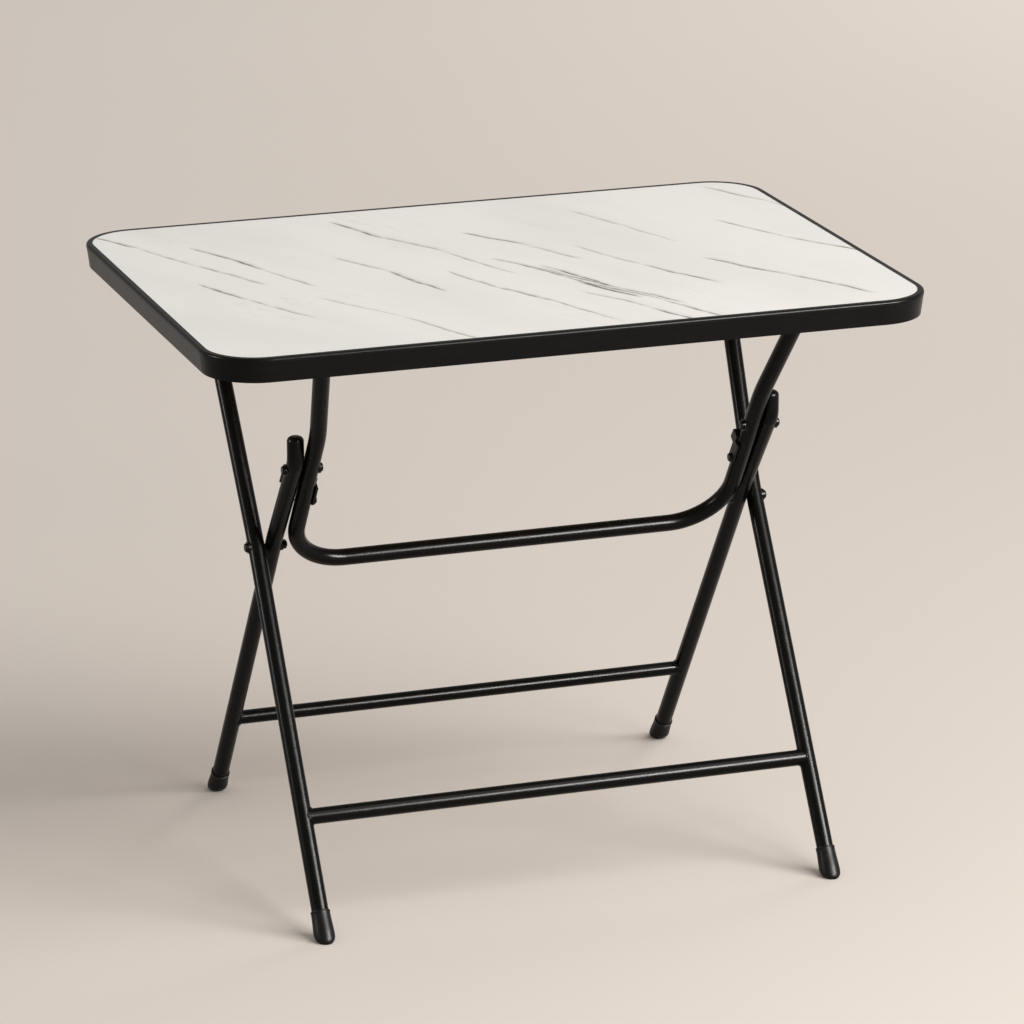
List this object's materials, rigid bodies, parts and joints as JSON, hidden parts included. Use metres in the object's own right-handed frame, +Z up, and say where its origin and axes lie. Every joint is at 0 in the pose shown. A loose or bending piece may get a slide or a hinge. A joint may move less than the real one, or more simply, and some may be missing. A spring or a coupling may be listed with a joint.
{
  "type": "folding table",
  "caption": "Folding table with a rounded laminate top in a black edge rim, on crossed tubular legs with crossbars and a U-shaped folding brace.",
  "frame": {"origin": "on the floor, under the middle of the top", "axes": "+X along the long side, +Y towards the rear feet, +Z up"},
  "size_m": [0.914, 0.6615, 0.74],
  "materials": {
    "marble_laminate": "satin printed laminate, off-white marble with thin grey-olive veins",
    "board": "fine particle board, sealed underside",
    "rim": "satin black moulded edge with a glossy rounded bead",
    "black_tube": "glossy black powder coat",
    "bracket_steel": "satin black powder coat",
    "fastener": "black coated steel",
    "zinc": "bright zinc",
    "rubber": "matte black rubber",
    "black_plastic": "black moulded plastic"
  },
  "bodies": {
    "tabletop": {"tabletop_board": "board", "marble_laminate": "marble_laminate", "edge_rim": "rim", "leg_bracket_left": "bracket_steel", "brace_bracket_left": "bracket_steel", "leg_bracket_screws_left": "zinc", "brace_bracket_screws_left": "zinc", "leg_hinge_pin_left": "bracket_steel", "brace_hinge_pin_left": "bracket_steel", "leg_bracket_right": "bracket_steel", "brace_bracket_right": "bracket_steel", "leg_bracket_screws_right": "zinc", "brace_bracket_screws_right": "zinc", "leg_hinge_pin_right": "bracket_steel", "brace_hinge_pin_right": "bracket_steel"},
    "front_legs": {"front_crossbar": "black_tube", "front_leg_left": "black_tube", "front_foot_left": "rubber", "front_leg_plug_left": "black_plastic", "cross_bolt_left": "fastener", "cross_nut_left": "fastener", "cross_washer_outer_left": "fastener", "front_leg_right": "black_tube", "front_foot_right": "rubber", "front_leg_plug_right": "black_plastic", "cross_bolt_right": "fastener", "cross_nut_right": "fastener", "cross_washer_outer_right": "fastener"},
    "rear_legs": {"rear_crossbar": "black_tube", "rear_leg_left": "black_tube", "rear_foot_left": "rubber", "rear_leg_knob_left": "black_plastic", "cross_washer_inner_left": "fastener", "knee_bolt_left": "fastener", "knee_washer_outer_left": "fastener", "rear_leg_right": "black_tube", "rear_foot_right": "rubber", "rear_leg_knob_right": "black_plastic", "cross_washer_inner_right": "fastener", "knee_bolt_right": "fastener", "knee_washer_outer_right": "fastener"},
    "brace": {"brace_tube": "black_tube", "brace_plug_left": "black_plastic", "knee_nut_left": "fastener", "knee_washer_inner_left": "fastener", "stop_arm_left": "black_tube", "stop_screw_left": "fastener", "brace_plug_right": "black_plastic", "knee_nut_right": "fastener", "knee_washer_inner_right": "fastener", "stop_arm_right": "black_tube", "stop_screw_right": "fastener"}
  },
  "joints": [
    {"name": "front_legs_fold", "type": "hinge", "parent": "tabletop", "child": "front_legs", "pos_m": [0, 0.122, 0.704], "axis": [-1, 0, 0], "range_deg": [0, 55.5]},
    {"name": "rear_legs_fold", "type": "hinge", "parent": "front_legs", "child": "rear_legs", "pos_m": [0, -0.042, 0.419], "axis": [-1, 0, 0], "range_deg": [0, 62.4]},
    {"name": "brace_fold", "type": "hinge", "parent": "tabletop", "child": "brace", "pos_m": [0, -0.246, 0.704], "axis": [1, 0, 0], "range_deg": [0, 55.7]}
  ],
  "couplings": [
    {"joint": "rear_legs_fold", "follows": "front_legs_fold", "ratio": 1.1243},
    {"joint": "brace_fold", "follows": "front_legs_fold", "ratio": 1.0036}
  ]
}
